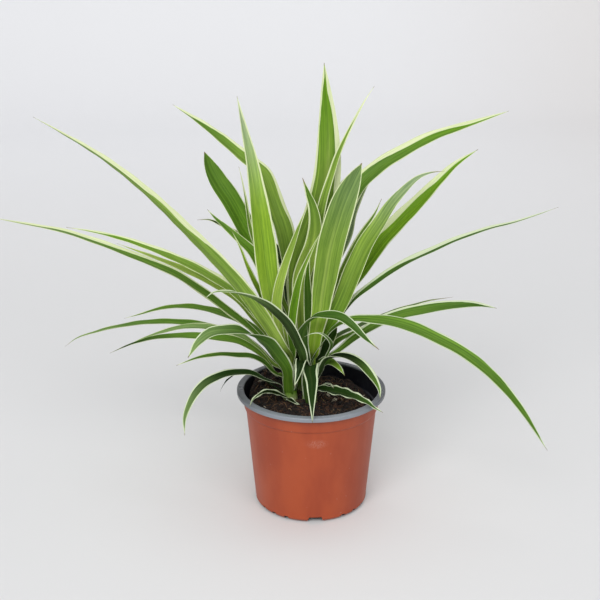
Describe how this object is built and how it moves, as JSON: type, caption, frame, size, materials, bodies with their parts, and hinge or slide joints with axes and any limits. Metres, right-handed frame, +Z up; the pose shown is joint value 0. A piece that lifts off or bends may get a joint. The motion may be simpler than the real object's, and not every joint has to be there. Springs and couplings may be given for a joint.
{
  "type": "potted spider plant",
  "caption": "Potted spider plant with long arching striped leaves in a plain tapered plastic nursery pot.",
  "frame": {"origin": "centre of the pot's foot, on the surface that the pot stands on", "axes": "+Z up along the pot's axis, -Y towards the front of the plant, +X to its right"},
  "size_m": [0.4593, 0.2251, 0.3519],
  "materials": {
    "pot_plastic": "satin",
    "potting_soil": "matte",
    "leaf": "satin"
  },
  "bodies": {
    "root": {"nursery_pot": "pot_plastic", "potting_soil": "potting_soil", "crown_left": "leaf", "crown_front": "leaf", "crown_back": "leaf", "leaf_left_rim_arch": "leaf", "leaf_left_broad_arch": "leaf", "leaf_left_flat_dark": "leaf", "leaf_left_flat_pale": "leaf", "leaf_left_flat_long": "leaf", "leaf_left_back_thin": "leaf", "leaf_left_long_mid": "leaf", "leaf_left_long_high": "leaf", "leaf_left_inner_front": "leaf", "leaf_front_fold": "leaf", "leaf_front_right_low": "leaf", "leaf_front_right_arch": "leaf", "leaf_front_broad_arch": "leaf", "leaf_front_left_arch": "leaf", "leaf_right_level": "leaf", "leaf_right_upright_far": "leaf", "leaf_back_arch_left": "leaf", "leaf_back_arch_middle": "leaf", "leaf_back_arch_right": "leaf"}
  },
  "joints": []
}
